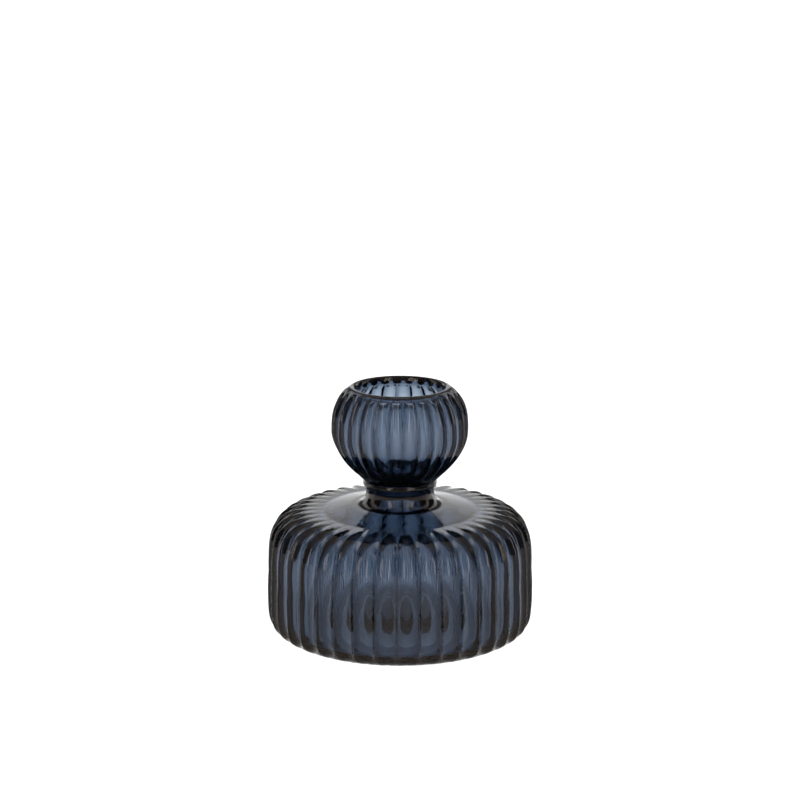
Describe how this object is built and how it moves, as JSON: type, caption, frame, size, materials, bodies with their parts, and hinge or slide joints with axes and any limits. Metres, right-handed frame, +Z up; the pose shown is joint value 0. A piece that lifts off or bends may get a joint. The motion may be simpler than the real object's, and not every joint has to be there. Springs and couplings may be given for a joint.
{
  "type": "glass bud vase",
  "caption": "Squat dark blue glass bud vase: fluted drum body with a low sloping shoulder, short smooth neck with a collar, and a fluted ball mouth.",
  "frame": {"origin": "centre of the foot, on the surface the vase stands on", "axes": "+Z up along the axis of the vase; -Y is the front; +X is to the right seen from the front"},
  "size_m": [0.105, 0.105, 0.0978],
  "materials": {
    "blue_glass": "clear dark blue glass, fire-polished, with smooth inner walls"
  },
  "bodies": {
    "root": {"fluted_body": "blue_glass", "neck_collar": "blue_glass", "fluted_ball": "blue_glass"}
  },
  "joints": []
}
